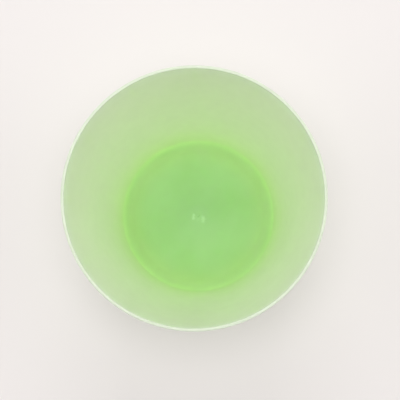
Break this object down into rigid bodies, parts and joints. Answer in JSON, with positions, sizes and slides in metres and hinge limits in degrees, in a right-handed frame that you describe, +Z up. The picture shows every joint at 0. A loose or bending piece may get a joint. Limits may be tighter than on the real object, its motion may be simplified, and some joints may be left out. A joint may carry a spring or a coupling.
{
  "type": "florist bucket",
  "caption": "Tapered open-topped water bucket for cut flowers, moulded in translucent plastic, with a beaded lip, stacking ribs and a foot ring.",
  "frame": {"origin": "centre of the bottom, on the surface the bucket stands on", "axes": "+Z up along the bucket's axis, out of its mouth; the bucket is round about Z, and +X goes through the first stacking rib"},
  "size_m": [0.2668, 0.2668, 0.28],
  "materials": {
    "wall_plastic": "translucent light green polypropylene, satin, colour through and through",
    "base_plastic": "the same translucent green polypropylene, thicker and so deeper in colour, satin with fine turning marks",
    "lip_plastic": "the same translucent green polypropylene at its thinnest and palest, satin"
  },
  "bodies": {
    "root": {"base_panel": "base_plastic", "gate_boss": "base_plastic", "foot_ring": "base_plastic", "heel_ring": "base_plastic", "side_wall": "wall_plastic", "rim_lip": "lip_plastic", "stacking_rib_01": "wall_plastic", "stacking_rib_02": "wall_plastic", "stacking_rib_03": "wall_plastic", "stacking_rib_04": "wall_plastic", "stacking_rib_05": "wall_plastic", "stacking_rib_06": "wall_plastic", "stacking_rib_07": "wall_plastic", "stacking_rib_08": "wall_plastic", "stacking_rib_09": "wall_plastic", "stacking_rib_10": "wall_plastic", "stacking_rib_11": "wall_plastic", "stacking_rib_12": "wall_plastic"}
  },
  "joints": []
}
